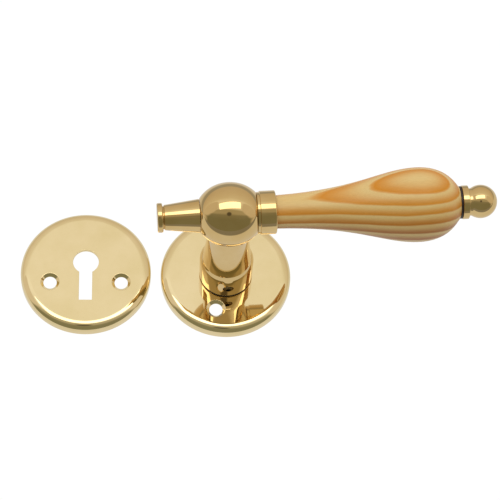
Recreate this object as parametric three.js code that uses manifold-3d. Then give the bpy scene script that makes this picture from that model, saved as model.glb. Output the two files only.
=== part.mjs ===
// A door lever with a turned wooden grip on a round screw-on rose, and the round keyhole
// escutcheon of the same set, in millimetres. +Z points out of the door, which is the plane z = 0.
// The origin is on the neck's axis at the door face, and the lever points along +X.

import * as THREE from 'three';
import { mergeVertices } from 'three/addons/utils/BufferGeometryUtils.js';
import Module from 'manifold-3d';

const wasm = await Module();
wasm.setup();

// Pressed plates: the rose and the escutcheon.
const PLATE_DIAMETER = 50;
const PLATE_HEIGHT = 5;
const PLATE_EDGE_WIDTH = 3.7;
const PLATE_EDGE_DROP = 2.8;
const SHEET = 1.2;
const SCREW_HOLE = 5.1;
const COUNTERSINK = 7.4;
const COUNTERSINK_DEPTH = 0.95;
const ROSE_SCREW_MARGIN = 1.05;
const ROSE_SCREW_TURN = -108;

// Keyhole escutcheon.
const ESCUTCHEON_GAP = 3.7;
const ESCUTCHEON_BEARING = 175.3;
const ESCUTCHEON_TURN = -3.7;
const ESCUTCHEON_SCREW_SPACING = 27.2;
const ESCUTCHEON_SCREW_DROP = 5;
const KEYHOLE_ROUND = 9.9;
const KEYHOLE_ROUND_RISE = 3.6;
const KEYHOLE_SLOT = 5;
const KEYHOLE_SLOT_DROP = 12.6;

// Bearing of the lever in the rose.
const SPINDLE_SQUARE = 8;
const SOCKET_CLEARANCE = 0.1;
const SOCKET_DEPTH = 30;
const JOURNAL_DIAMETER = 16;
const JOURNAL_LIP = 0.6;
const BUSH_WALL = 1.45;
const BUSH_FLANGE_LIP = 1.4;
const BUSH_FLANGE = 0.75;
const RUNNING_CLEARANCE = 0.1;
const SEAT_CLEARANCE = 0.05;
const CIRCLIP_WIDTH = 1.7;
const CIRCLIP_THICKNESS = 1;
const CIRCLIP_OPENING = 12.5;
const LUG_RADIUS = 1.4;
const GROOVE_DEPTH = 0.4;
const WAVE_SPACE = 0.9;
const WAVE_THICKNESS = 0.3;
const WAVES = 3;
const WASHER_THICKNESS = 0.75;
const WASHER_SET_BACK = 0.2;

// Neck of the lever.
const FOOT_OVERHANG = 2.2;
const FOOT_HEIGHT = 10.6;
const FOOT_SLOPE_HEIGHT = 2.4;
const FOOT_SLOPE_INSET = 1.05;
const FLARE_DIP = 0.1;
const FLARE_DIP_RISE = 3.1;
const FLARE_LEAN = 0.35;
const FLARE_HEIGHT = 9.1;
const NECK_DIAMETER = 15.2;
const LEVER_HEIGHT = 53.4;
const SPIGOT_DIAMETER = 10;
const GRUB_DIAMETER = 4;
const GRUB_LENGTH = 4.5;
const GRUB_KEY = 2;
const GRUB_RISE = 5.6;

// Ball and tail.
const BALL_LENGTH = 26;
const BALL_DIAMETER = 23.8;
const BALL_TAIL_FLAT_DIAMETER = 12.6;
const BALL_GRIP_FLAT_DIAMETER = 15.6;
const BALL_WEB = 2.1;
const SEAT_DEPTH = 0.3;
const TAIL_NECK_DIAMETER = 9.3;
const TAIL_CONE_LENGTH = 13;
const TAIL_DISC_DIAMETER = 10.9;
const TAIL_DISC_THICKNESS = 2.1;
const TAIL_GROOVE = 0.5;
const EDGE = 0.4;

// Ferrule, grip and finial.
const FERRULE_WALL = 1.8;
const FERRULE_LENGTH = 5.9;
const FERRULE_NECK_STEP = 0.35;
const FERRULE_NECK_LENGTH = 1.1;
const TENON_LENGTH = 4;
const GRIP_SWELL_LENGTH = 52.7;
const GRIP_CLOSE_LENGTH = 15.4;
const GRIP_ROOT_DIAMETER = 12.3;
const GRIP_BELLY_DIAMETER = 27.6;
const GRIP_END_DIAMETER = 12;
const ROOT_FLARE = 0.85;
const ROOT_PULL = 0.595;
const BELLY_PULL = 0.255;
const SHOULDER_PULL = 0.725;
const END_FLARE = 1;
const END_PULL = 0.076;
const END_WASHER_THICKNESS = 0.7;
const FLANGE_DIAMETER = 12.5;
const FLANGE_THICKNESS = 2.4;
const FINIAL_NECK_DIAMETER = 10.2;
const FINIAL_NECK_LENGTH = 1.1;
const FINIAL_BALL_DIAMETER = 12.4;
const ROD_DIAMETER = 5;
const ROD_CLEARANCE = 0.2;
const ROD_TAIL_THREAD = 9;
const JOINT_GAP = 0.1;

const ROUND_SEGMENTS = 40;
const SMALL_SEGMENTS = 20;
const ARC_STEPS = 4;

// Where the pieces stand, worked out from the sizes above.
const sheetUnderside = PLATE_HEIGHT - SHEET;
const journalRadius = JOURNAL_DIAMETER / 2;
const bushBore = journalRadius + RUNNING_CLEARANCE;
const bushRadius = bushBore + BUSH_WALL;
const roseBore = bushRadius + RUNNING_CLEARANCE;
const bushFlangeRadius = bushRadius + BUSH_FLANGE_LIP;
const bushStart = sheetUnderside - SEAT_CLEARANCE - BUSH_FLANGE;
const grooveEnd = bushStart - WAVE_SPACE;
const grooveStart = grooveEnd - CIRCLIP_THICKNESS - 2 * SEAT_CLEARANCE;
const journalStart = grooveStart - JOURNAL_LIP;
const footRadius = journalRadius + FOOT_OVERHANG;
const roseScrewRadius = Math.max(bushFlangeRadius, footRadius) + COUNTERSINK / 2 + ROSE_SCREW_MARGIN;
const washerStart = PLATE_HEIGHT + SEAT_CLEARANCE;
const footStart = washerStart + WASHER_THICKNESS + RUNNING_CLEARANCE;
const footEnd = footStart + FOOT_HEIGHT;
const ballSeat = LEVER_HEIGHT - ballHalf(NECK_DIAMETER, BALL_DIAMETER) + SEAT_DEPTH;
const grubHoleRadius = GRUB_DIAMETER / 2 + RUNNING_CLEARANCE;
const socketHalf = SPINDLE_SQUARE / 2 + SOCKET_CLEARANCE;
const rodBore = ROD_DIAMETER / 2 + ROD_CLEARANCE;
const spigotEnd = LEVER_HEIGHT - rodBore - BALL_WEB;
const tailFlat = ballHalf(BALL_TAIL_FLAT_DIAMETER, BALL_LENGTH);
const gripFlat = ballHalf(BALL_GRIP_FLAT_DIAMETER, BALL_LENGTH);
const tailStart = -tailFlat - JOINT_GAP;
const tailEnd = tailStart - TAIL_CONE_LENGTH - TAIL_GROOVE - TAIL_DISC_THICKNESS;
const ferruleSocket = GRIP_ROOT_DIAMETER / 2 + RUNNING_CLEARANCE;
const ferruleRadius = ferruleSocket + FERRULE_WALL;
const ferruleStart = gripFlat + JOINT_GAP;
const ferruleEnd = ferruleStart + FERRULE_NECK_LENGTH + FERRULE_LENGTH;
const gripBelly = ferruleEnd + GRIP_SWELL_LENGTH;
const gripEnd = gripBelly + GRIP_CLOSE_LENGTH;
const endWasherStart = gripEnd + JOINT_GAP;
const finialStart = endWasherStart + END_WASHER_THICKNESS + JOINT_GAP;
const finialBallCentre = finialStart + FLANGE_THICKNESS + FINIAL_NECK_LENGTH + ballStandoff();
const rodStart = tailStart - ROD_TAIL_THREAD;
const rodEnd = finialBallCentre;

// How far from the ball's centre, along a diameter, its surface closes to a circle of this size.
function ballHalf(circle, diameter) {
  const ratio = circle / BALL_DIAMETER;
  return (diameter / 2) * Math.sqrt(1 - ratio * ratio);
}

// Distance from the finial's neck to the centre of its ball.
function ballStandoff() {
  const half = FINIAL_BALL_DIAMETER / 2;
  const neck = FINIAL_NECK_DIAMETER / 2;
  return Math.sqrt(half * half - neck * neck);
}

// Points of a round or oval stretch of a profile, from one angle to another in degrees.
function arc(centre, middle, width, height, from, to, steps = ARC_STEPS) {
  const points = [];
  for (let i = 0; i <= steps; i += 1) {
    const angle = THREE.MathUtils.degToRad(from + ((to - from) * i) / steps);
    points.push([centre + width * Math.cos(angle), middle + height * Math.sin(angle)]);
  }
  return points;
}

// Points of a cubic curve; its corners are [radius, distance along the axis].
function curve(corners, steps = 2 * ARC_STEPS) {
  const bezier = new THREE.CubicBezierCurve(...corners.map(([x, y]) => new THREE.Vector2(x, y)));
  return bezier.getPoints(steps).map((point) => [point.x, point.y]);
}

// A turned solid: the profile's points are [radius, distance along the axis], anticlockwise.
function turned(profile, segments = ROUND_SEGMENTS) {
  const points = profile.map(([radius, along]) => new THREE.Vector2(radius, along));
  return new THREE.LatheGeometry(points, segments);
}

function turnedOnZ(profile, segments) {
  return turned(profile, segments).rotateX(Math.PI / 2);
}

function turnedOnX(profile, segments) {
  return turned(profile, segments).rotateZ(-Math.PI / 2).rotateX(Math.PI / 2);
}

// A profile of a ring or tube closes on itself.
function closed(profile) {
  return [...profile, profile[0]];
}

function rod(radius, from, to, segments = SMALL_SEGMENTS) {
  return new THREE.CylinderGeometry(radius, radius, to - from, segments).translate(0, (from + to) / 2, 0);
}

function rodOnZ(radius, from, to, segments) {
  return rod(radius, from, to, segments).rotateX(Math.PI / 2);
}

function rodOnX(radius, from, to, segments) {
  return rod(radius, from, to, segments).rotateZ(-Math.PI / 2);
}

function toSolid(geometry) {
  const bare = geometry.clone();
  bare.deleteAttribute('normal');
  bare.deleteAttribute('uv');
  const merged = mergeVertices(bare, 1e-5);
  return new wasm.Manifold(new wasm.Mesh({
    numProp: 3,
    vertProperties: new Float32Array(merged.attributes.position.array),
    triVerts: new Uint32Array(merged.index.array),
  }));
}

function toGeometry(solid) {
  const mesh = solid.getMesh();
  const geometry = new THREE.BufferGeometry();
  geometry.setAttribute('position', new THREE.BufferAttribute(new Float32Array(mesh.vertProperties), 3));
  geometry.setIndex(new THREE.BufferAttribute(new Uint32Array(mesh.triVerts), 1));
  geometry.computeVertexNormals();
  return geometry;
}

function combine(base, cut, added = []) {
  let solid = toSolid(base);
  for (const geometry of added) solid = solid.add(toSolid(geometry));
  for (const geometry of cut) solid = solid.subtract(toSolid(geometry));
  return toGeometry(solid);
}

// The pressed dish that both plates share: from the bore, or the axis, over the rim and back.
function dishProfile(bore) {
  const edge = PLATE_DIAMETER / 2;
  const bend = edge - PLATE_EDGE_WIDTH;
  const bendHeight = PLATE_HEIGHT - PLATE_EDGE_DROP;
  return [
    [bore, sheetUnderside],
    ...arc(bend, bendHeight, PLATE_EDGE_WIDTH - SHEET, PLATE_EDGE_DROP - SHEET, 90, 0),
    [edge - SHEET, 0],
    [edge, 0],
    ...arc(bend, bendHeight, PLATE_EDGE_WIDTH, PLATE_EDGE_DROP, 0, 90, 2 * ARC_STEPS),
    [bore, PLATE_HEIGHT],
  ];
}

// The countersunk hole that is cut for one screw.
function screwSink(x, y) {
  const hole = SCREW_HOLE / 2;
  return turnedOnZ([
    [0, -1],
    [hole, -1],
    [hole, PLATE_HEIGHT - COUNTERSINK_DEPTH],
    [COUNTERSINK / 2, PLATE_HEIGHT],
    [COUNTERSINK / 2, PLATE_HEIGHT + 1],
    [0, PLATE_HEIGHT + 1],
  ], SMALL_SEGMENTS).translate(x, y, 0);
}

function roseGeometry() {
  const angle = THREE.MathUtils.degToRad(ROSE_SCREW_TURN);
  const sinks = [1, -1].map((side) => screwSink(
    side * roseScrewRadius * Math.cos(angle),
    side * roseScrewRadius * Math.sin(angle),
  ));
  return combine(turnedOnZ(closed(dishProfile(roseBore))), sinks);
}

function keyholeCutter() {
  const round = rodOnZ(KEYHOLE_ROUND / 2, -1, PLATE_HEIGHT + 1, ROUND_SEGMENTS);
  round.translate(0, KEYHOLE_ROUND_RISE, 0);
  const length = KEYHOLE_ROUND_RISE + KEYHOLE_SLOT_DROP;
  const slot = new THREE.BoxGeometry(KEYHOLE_SLOT, length, PLATE_HEIGHT + 2);
  slot.translate(0, KEYHOLE_ROUND_RISE - length / 2, PLATE_HEIGHT / 2);
  return [round, slot];
}

function escutcheonGeometry() {
  const sinks = [1, -1].map((side) => screwSink(
    (side * ESCUTCHEON_SCREW_SPACING) / 2,
    -ESCUTCHEON_SCREW_DROP,
  ));
  return combine(turnedOnZ(dishProfile(0)), [...sinks, ...keyholeCutter()]);
}

function bushGeometry() {
  return turnedOnZ(closed([
    [bushBore, bushStart],
    [bushFlangeRadius, bushStart],
    [bushFlangeRadius, bushStart + BUSH_FLANGE],
    [bushRadius, bushStart + BUSH_FLANGE],
    [bushRadius, PLATE_HEIGHT],
    [bushBore, PLATE_HEIGHT],
  ]));
}

function frictionWasherGeometry() {
  const inner = bushBore + WASHER_SET_BACK;
  const outer = footRadius - WASHER_SET_BACK;
  return turnedOnZ(closed([
    [inner, washerStart],
    [outer, washerStart],
    [outer, washerStart + WASHER_THICKNESS],
    [inner, washerStart + WASHER_THICKNESS],
  ]));
}

function neckProfile() {
  const neck = NECK_DIAMETER / 2;
  const groove = journalRadius - GROOVE_DEPTH;
  const spigot = SPIGOT_DIAMETER / 2;
  const slopeEnd = footEnd + FOOT_SLOPE_HEIGHT;
  const slopeRadius = footRadius - FOOT_SLOPE_INSET;
  const neckEnd = ballSeat - JOINT_GAP;
  return [
    [0, journalStart],
    [journalRadius, journalStart],
    [journalRadius, grooveStart],
    [groove, grooveStart],
    [groove, grooveEnd],
    [journalRadius, grooveEnd],
    [journalRadius, footStart],
    [footRadius - EDGE / 2, footStart],
    [footRadius, footStart + EDGE / 2],
    [footRadius, footEnd],
    ...curve([
      [slopeRadius, slopeEnd],
      [slopeRadius - FLARE_DIP, slopeEnd + FLARE_DIP_RISE],
      [neck + FLARE_LEAN, slopeEnd + FLARE_HEIGHT],
      [neck, neckEnd],
    ]),
    [spigot, neckEnd],
    [spigot, spigotEnd],
    [0, spigotEnd],
  ];
}

function neckGeometry() {
  const socketTop = journalStart + SOCKET_DEPTH;
  const socket = new THREE.BoxGeometry(2 * socketHalf, 2 * socketHalf, socketTop + 1);
  socket.translate(0, 0, (socketTop - 1) / 2);
  const grubHole = rod(grubHoleRadius, -2 * footRadius, 0).translate(0, 0, footStart + GRUB_RISE);
  return combine(turnedOnZ(neckProfile()), [socket, grubHole]);
}

function grubScrewGeometry() {
  const tip = -socketHalf - RUNNING_CLEARANCE;
  const head = tip - GRUB_LENGTH;
  const body = rod(GRUB_DIAMETER / 2, head, tip);
  const key = rod(GRUB_KEY / Math.sqrt(3), head - 1, head + GRUB_KEY, 6);
  return combine(body, [key]).translate(0, 0, footStart + GRUB_RISE);
}

function circlipGeometry() {
  const inner = journalRadius - GROOVE_DEPTH + RUNNING_CLEARANCE;
  const outer = inner + CIRCLIP_WIDTH;
  const opening = THREE.MathUtils.degToRad(CIRCLIP_OPENING);
  const base = grooveStart + SEAT_CLEARANCE;
  const top = base + CIRCLIP_THICKNESS;
  const shape = new THREE.Shape();
  shape.absarc(0, 0, outer, opening, 2 * Math.PI - opening, false);
  shape.absarc(0, 0, inner, 2 * Math.PI - opening, opening, true);
  shape.closePath();
  const ring = new THREE.ExtrudeGeometry(shape, {
    depth: CIRCLIP_THICKNESS,
    bevelEnabled: false,
    curveSegments: ROUND_SEGMENTS,
  });
  ring.translate(0, 0, base);
  const lugs = [];
  const holes = [];
  for (const side of [1, -1]) {
    const angle = side * (opening + LUG_RADIUS / outer);
    const x = outer * Math.cos(angle);
    const y = outer * Math.sin(angle);
    lugs.push(rodOnZ(LUG_RADIUS, base, top).translate(x, y, 0));
    holes.push(rodOnZ(LUG_RADIUS / 2, base - 1, top + 1, SMALL_SEGMENTS / 2).translate(x, y, 0));
  }
  const core = rodOnZ(inner, base - 1, top + 1, ROUND_SEGMENTS);
  return combine(ring, [...holes, core], lugs);
}

function waveWasherGeometry() {
  const inner = journalRadius + 2 * RUNNING_CLEARANCE;
  const outer = bushFlangeRadius - RUNNING_CLEARANCE;
  const middle = grooveEnd + WAVE_SPACE / 2;
  const height = (WAVE_SPACE - WAVE_THICKNESS) / 2 - SEAT_CLEARANCE;
  const geometry = turnedOnZ(closed([
    [inner, middle - WAVE_THICKNESS / 2],
    [outer, middle - WAVE_THICKNESS / 2],
    [outer, middle + WAVE_THICKNESS / 2],
    [inner, middle + WAVE_THICKNESS / 2],
  ]));
  const position = geometry.attributes.position;
  for (let i = 0; i < position.count; i += 1) {
    const angle = Math.atan2(position.getY(i), position.getX(i));
    position.setZ(i, position.getZ(i) + height * Math.cos(WAVES * angle));
  }
  return geometry;
}

// The ball is a little longer than it is thick, and cut flat at both ends.
function ballProfile() {
  const steps = 4 * ARC_STEPS;
  const from = Math.asin((-2 * tailFlat) / BALL_LENGTH);
  const to = Math.asin((2 * gripFlat) / BALL_LENGTH);
  const points = [[0, -tailFlat]];
  for (let i = 0; i <= steps; i += 1) {
    const angle = from + ((to - from) * i) / steps;
    points.push([(BALL_DIAMETER / 2) * Math.cos(angle), (BALL_LENGTH / 2) * Math.sin(angle)]);
  }
  return [...points, [0, gripFlat]];
}

function ballGeometry() {
  const seatRadius = NECK_DIAMETER / 2 + RUNNING_CLEARANCE;
  const seat = rodOnZ(seatRadius, -BALL_DIAMETER, ballSeat - LEVER_HEIGHT, ROUND_SEGMENTS);
  const holeRadius = SPIGOT_DIAMETER / 2 + RUNNING_CLEARANCE;
  const holeEnd = spigotEnd + JOINT_GAP - LEVER_HEIGHT;
  const spigotHole = rodOnZ(holeRadius, -BALL_DIAMETER, holeEnd, ROUND_SEGMENTS);
  const bore = rodOnX(rodBore, -BALL_LENGTH, BALL_LENGTH);
  return combine(turnedOnX(ballProfile()), [seat, spigotHole, bore]);
}

function tailGeometry() {
  const base = BALL_TAIL_FLAT_DIAMETER / 2 - SEAT_CLEARANCE;
  const neck = TAIL_NECK_DIAMETER / 2;
  const disc = TAIL_DISC_DIAMETER / 2;
  const coneEnd = tailStart - TAIL_CONE_LENGTH;
  const discEnd = coneEnd - TAIL_GROOVE;
  return turnedOnX([
    [0, tailEnd],
    [disc - EDGE, tailEnd],
    [disc, tailEnd + EDGE],
    [disc, discEnd - EDGE],
    [disc - EDGE, discEnd],
    [neck - EDGE, discEnd],
    [neck - EDGE, coneEnd],
    [neck, coneEnd + EDGE],
    [base, tailStart],
    [rodBore, tailStart],
    [rodBore, rodStart - ROD_CLEARANCE],
    [0, rodStart - ROD_CLEARANCE],
  ]);
}

function ferruleGeometry() {
  const neck = ferruleRadius - FERRULE_NECK_STEP;
  const neckEnd = ferruleStart + FERRULE_NECK_LENGTH;
  const socketEnd = ferruleEnd - TENON_LENGTH - JOINT_GAP;
  return turnedOnX(closed([
    [rodBore, ferruleStart],
    [neck, ferruleStart],
    [neck, neckEnd],
    [ferruleRadius - EDGE, neckEnd],
    [ferruleRadius, neckEnd + EDGE],
    [ferruleRadius, ferruleEnd - EDGE],
    [ferruleRadius - EDGE, ferruleEnd],
    [ferruleSocket, ferruleEnd],
    [ferruleSocket, socketEnd],
    [rodBore, socketEnd],
  ]));
}

// The grip swells slowly from the ferrule to its belly and closes quickly behind it. Each pull
// is how far a curve runs on before it bends, as a share of that curve's length.
function gripProfile() {
  const root = GRIP_ROOT_DIAMETER / 2;
  const belly = GRIP_BELLY_DIAMETER / 2;
  const end = GRIP_END_DIAMETER / 2;
  const swell = curve([
    [root, ferruleEnd],
    [root + ROOT_FLARE, ferruleEnd + ROOT_PULL * GRIP_SWELL_LENGTH],
    [belly, gripBelly - BELLY_PULL * GRIP_SWELL_LENGTH],
    [belly, gripBelly],
  ]);
  const close = curve([
    [belly, gripBelly],
    [belly, gripBelly + SHOULDER_PULL * GRIP_CLOSE_LENGTH],
    [end + END_FLARE, gripEnd - END_PULL * GRIP_CLOSE_LENGTH],
    [end, gripEnd],
  ]);
  return [...swell, ...close.slice(1)];
}

function gripGeometry() {
  const tenonStart = ferruleEnd - TENON_LENGTH;
  return turnedOnX(closed([
    [rodBore, tenonStart],
    [GRIP_ROOT_DIAMETER / 2, tenonStart],
    ...gripProfile(),
    [rodBore, gripEnd],
  ]));
}

function endWasherGeometry() {
  return turnedOnX(closed([
    [rodBore, endWasherStart],
    [GRIP_END_DIAMETER / 2, endWasherStart],
    [GRIP_END_DIAMETER / 2, endWasherStart + END_WASHER_THICKNESS],
    [rodBore, endWasherStart + END_WASHER_THICKNESS],
  ]));
}

function finialGeometry() {
  const flange = FLANGE_DIAMETER / 2;
  const neck = FINIAL_NECK_DIAMETER / 2;
  const half = FINIAL_BALL_DIAMETER / 2;
  const flangeEnd = finialStart + FLANGE_THICKNESS;
  const opening = THREE.MathUtils.radToDeg(Math.asin(ballStandoff() / half));
  return turnedOnX([
    [0, rodEnd + ROD_CLEARANCE],
    [rodBore, rodEnd + ROD_CLEARANCE],
    [rodBore, finialStart],
    [flange - EDGE, finialStart],
    [flange, finialStart + EDGE],
    [flange, flangeEnd - EDGE],
    [flange - EDGE, flangeEnd],
    [neck, flangeEnd],
    ...arc(0, finialBallCentre, half, half, -opening, 90, 2 * ARC_STEPS).slice(0, -1),
    [0, finialBallCentre + half],
  ]);
}

function tieRodGeometry() {
  return rodOnX(ROD_DIAMETER / 2, rodStart, rodEnd);
}

const polishedBrass = { color: 0xc9a15a, roughness: 0.12, metalness: 1 };
const steel = { color: 0x9a9ca0, roughness: 0.35, metalness: 1 };
const pine = { color: 0xd9a868, roughness: 0.3, metalness: 0 };
const darkNylon = { color: 0x1c1614, roughness: 0.6, metalness: 0 };
const paleNylon = { color: 0xe6e2d8, roughness: 0.6, metalness: 0 };

function piece(name, geometry, finish) {
  const mesh = new THREE.Mesh(geometry, new THREE.MeshStandardMaterial(finish));
  mesh.name = name;
  return mesh;
}

const fixedPieces = new THREE.Group();
fixedPieces.add(
  piece('rose_plate', roseGeometry(), polishedBrass),
  piece('guide_bush', bushGeometry(), paleNylon),
  piece('friction_washer', frictionWasherGeometry(), darkNylon),
);

const escutcheon = piece('escutcheon_plate', escutcheonGeometry(), polishedBrass);
const bearing = THREE.MathUtils.degToRad(ESCUTCHEON_BEARING);
const escutcheonOffset = PLATE_DIAMETER + ESCUTCHEON_GAP;
escutcheon.position.set(escutcheonOffset * Math.cos(bearing), escutcheonOffset * Math.sin(bearing), 0);
escutcheon.rotation.z = THREE.MathUtils.degToRad(ESCUTCHEON_TURN);
fixedPieces.add(escutcheon);

// Pieces strung on the tie rod, which runs along the lever's axis.
const strung = new THREE.Group();
strung.position.z = LEVER_HEIGHT;
strung.add(
  piece('ball_hub', ballGeometry(), polishedBrass),
  piece('tail_cone', tailGeometry(), polishedBrass),
  piece('ferrule', ferruleGeometry(), polishedBrass),
  piece('grip', gripGeometry(), pine),
  piece('end_washer', endWasherGeometry(), darkNylon),
  piece('end_finial', finialGeometry(), polishedBrass),
  piece('tie_rod', tieRodGeometry(), steel),
);

const lever = new THREE.Group();
lever.add(
  piece('lever_neck', neckGeometry(), polishedBrass),
  piece('grub_screw', grubScrewGeometry(), steel),
  piece('circlip', circlipGeometry(), steel),
  piece('wave_washer', waveWasherGeometry(), steel),
  strung,
);

const leverSet = new THREE.Group();
leverSet.add(fixedPieces, lever);

export default leverSet;
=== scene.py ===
import math

import bpy
from mathutils import Matrix, Vector


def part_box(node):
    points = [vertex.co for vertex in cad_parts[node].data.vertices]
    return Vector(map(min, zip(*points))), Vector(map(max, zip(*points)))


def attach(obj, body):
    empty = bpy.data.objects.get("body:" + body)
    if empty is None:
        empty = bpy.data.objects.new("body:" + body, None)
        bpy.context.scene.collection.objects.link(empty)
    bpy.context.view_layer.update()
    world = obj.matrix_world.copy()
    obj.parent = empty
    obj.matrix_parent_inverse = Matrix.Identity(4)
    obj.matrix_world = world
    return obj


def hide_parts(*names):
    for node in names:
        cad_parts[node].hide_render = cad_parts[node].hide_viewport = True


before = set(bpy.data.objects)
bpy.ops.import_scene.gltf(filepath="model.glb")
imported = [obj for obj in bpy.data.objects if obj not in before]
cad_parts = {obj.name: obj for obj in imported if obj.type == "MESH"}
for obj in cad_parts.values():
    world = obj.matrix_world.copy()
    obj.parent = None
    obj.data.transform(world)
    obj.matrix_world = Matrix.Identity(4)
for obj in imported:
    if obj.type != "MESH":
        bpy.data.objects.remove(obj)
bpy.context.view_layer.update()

bl_info = {
    "name": "Door Lever Set",
    "version": (1, 0, 0),
    "blender": (4, 5, 0),
    "location": "View3D > Sidebar > Door Lever",
    "description": "Makes a brass door lever with a turned pine grip, its rose and its keyhole plate",
    "category": "Add Mesh",
}

MM = 0.001
TURN_STEPS = 144
SMALL_TURN_STEPS = 64
ARC_STEP = math.radians(3)
WELD = 0.002 * MM
SMOOTH_ANGLE = math.radians(32)
Z_AXIS = Vector((0, 0, 1))
X_AXIS = Vector((1, 0, 0))


def length(label, description, millimetres):
    """A size that the user may change, shown in scene units."""
    return bpy.props.FloatProperty(
        name=label,
        description=description,
        default=millimetres * MM,
        precision=4,
        subtype="DISTANCE",
        unit="LENGTH",
    )


def turn(label, description, degrees):
    """An angle that the user may change."""
    return bpy.props.FloatProperty(
        name=label,
        description=description,
        default=math.radians(degrees),
        subtype="ANGLE",
        unit="ROTATION",
    )


def colour(label, description, red, green, blue):
    """A surface colour that the user may change."""
    return bpy.props.FloatVectorProperty(
        name=label,
        description=description,
        default=(red, green, blue),
        min=0,
        max=1,
        subtype="COLOR",
    )


def amount(label, description, value, highest=1):
    """A plain number that the user may change."""
    return bpy.props.FloatProperty(
        name=label, description=description, default=value, min=0, max=highest
    )


class PlateSizes(bpy.types.PropertyGroup):
    """Sizes of the two pressed plates."""

    edge_width: length("Edge Width", "How far in from the rim the edge starts to turn down", 3.7)
    edge_height: length("Edge Height", "Height of the rounded edge", 2.8)
    sheet: length("Sheet", "Thickness of the pressed sheet", 1.2)
    rose_bore: length("Rose Bore", "Radius of the hole that the bush sits in", 9.65)
    screw_hole: length("Screw Hole", "Radius of a screw hole", 2.55)
    countersink: length("Countersink", "Radius of a countersink at the face", 3.7)
    countersink_depth: length("Countersink Depth", "Depth of a countersink", 0.95)
    countersink_lip: length("Countersink Lip", "Rounding where a countersink meets the face", 0.3)
    rose_screw_radius: length("Rose Screw Radius", "From the rose's centre to a screw hole", 15.7)
    rose_screw_turn: turn("Rose Screw Turn", "Direction of the rose's first screw hole", -108)
    plate_turn: turn("Keyhole Plate Turn", "How far the keyhole plate is turned", -3.7)
    screw_spacing: length("Screw Spacing", "Between the keyhole plate's screw holes", 27.2)
    screw_drop: length("Screw Drop", "From the plate's centre down to its screw holes", 5.0)
    key_round: length("Keyhole Round", "Radius of the keyhole's round part", 4.95)
    key_rise: length("Keyhole Rise", "From the plate's centre up to the round part's centre", 3.6)
    key_slot: length("Keyhole Slot", "Width of the keyhole's slot", 5.0)
    key_drop: length("Keyhole Drop", "From the plate's centre down to the slot's foot", 12.6)
    key_edge: length("Keyhole Edge", "Rounding of the keyhole's edge", 0.16)


class NeckSizes(bpy.types.PropertyGroup):
    """Sizes of the neck, its washer and the bearing under it."""

    journal: length("Journal", "Radius of the part that turns in the rose", 8.0)
    groove_depth: length("Groove Depth", "Depth of the clip's groove", 0.4)
    groove_start: length("Groove Start", "Height of the groove's lower side", 1.0)
    groove_end: length("Groove End", "Height of the groove's upper side", 2.1)
    foot_gap: length("Foot Gap", "Clearance between the washer and the foot", 0.1)
    foot_height: length("Foot Height", "Height of the foot's upright side", 10.6)
    slope_height: length("Slope Height", "Height of the sloping shoulder", 2.4)
    slope_inset: length("Slope Inset", "How far the shoulder comes in from the foot", 1.05)
    flare_dip: length("Flare Dip", "How far the flare pulls in above the shoulder", 0.1)
    flare_dip_rise: length("Flare Dip Rise", "Height over which the flare pulls in", 3.1)
    flare_lean: length("Flare Lean", "How far the flare still stands out as it runs up", 0.35)
    flare_height: length("Flare Height", "How far up the flare pulls the neck outwards", 9.1)
    neck: length("Neck", "Radius of the neck where it enters the ball", 7.6)
    seat_rise: length("Seat Rise", "Height at which the neck enters the ball", 44.443)
    spigot: length("Spigot", "Radius of the spigot inside the ball", 5.0)
    socket: length("Spindle Socket", "Half the width of the square socket", 4.1)
    socket_top: length("Socket Top", "Height at which the square socket ends", 30.4)
    grub_hole: length("Grub Hole", "Radius of the hole for the grub screw", 2.1)
    grub_rise: length("Grub Rise", "Height of the grub screw's hole", 11.5)
    edge: length("Edge", "Rounding of the turned edges", 0.3)
    washer_bore: length("Washer Bore", "Radius of the friction washer's hole", 8.3)


class LeverSizes(bpy.types.PropertyGroup):
    """Sizes of the pieces strung along the lever."""

    ball_length: length("Ball Length", "Length the ball would have without its flats", 26.0)
    rod_bore: length("Rod Bore", "Radius of the hole for the tie rod", 2.7)
    seat: length("Seat", "Radius of the recess that the neck sits in", 7.7)
    spigot_hole: length("Spigot Hole", "Radius of the hole for the neck's spigot", 5.1)
    spigot_top: length("Spigot Top", "Height at which the spigot's hole ends", 48.7)
    seat_rise: length("Seat Rise", "Height of the recess's floor", 44.543)
    tail_neck: length("Tail Neck", "Radius at the thin end of the tail's cone", 4.65)
    tail_disc: length("Tail Disc", "Radius of the disc on the tail's end", 5.45)
    disc_thickness: length("Disc Thickness", "Thickness of the tail's disc", 2.1)
    disc_edge: length("Disc Edge", "Rounding of the disc's rims", 0.55)
    tail_groove: length("Tail Groove", "Width of the groove beside the disc", 0.5)
    tail_groove_depth: length("Tail Groove Depth", "Depth of the groove beside the disc", 0.4)
    tail_bore_depth: length("Tail Bore Depth", "How deep the tie rod goes into the tail", 9.2)
    collar: length("Collar", "Radius of the ferrule's narrow collar", 7.7)
    collar_length: length("Collar Length", "Length of the ferrule's narrow collar", 1.1)
    ferrule_edge: length("Ferrule Edge", "Rounding of the ferrule's rim beside the grip", 0.5)
    ferrule_socket: length("Ferrule Socket", "Radius of the ferrule's socket", 6.25)
    tenon_length: length("Tenon Length", "How far the grip goes into the ferrule", 4.0)
    grip_root: length("Grip Root", "Radius of the grip at the ferrule", 6.15)
    grip_close: length("Grip Close", "From the grip's belly to its end", 15.4)
    grip_end: length("Grip End", "Radius of the grip's end", 6.0)
    flange_thickness: length("Flange Thickness", "Thickness of the finial's flange", 2.4)
    finial_neck: length("Finial Neck", "Radius of the finial's neck", 5.1)
    finial_ball: length("Finial Ball", "Radius of the finial's ball", 6.2)
    edge: length("Edge", "Rounding of the turned edges", 0.25)


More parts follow.
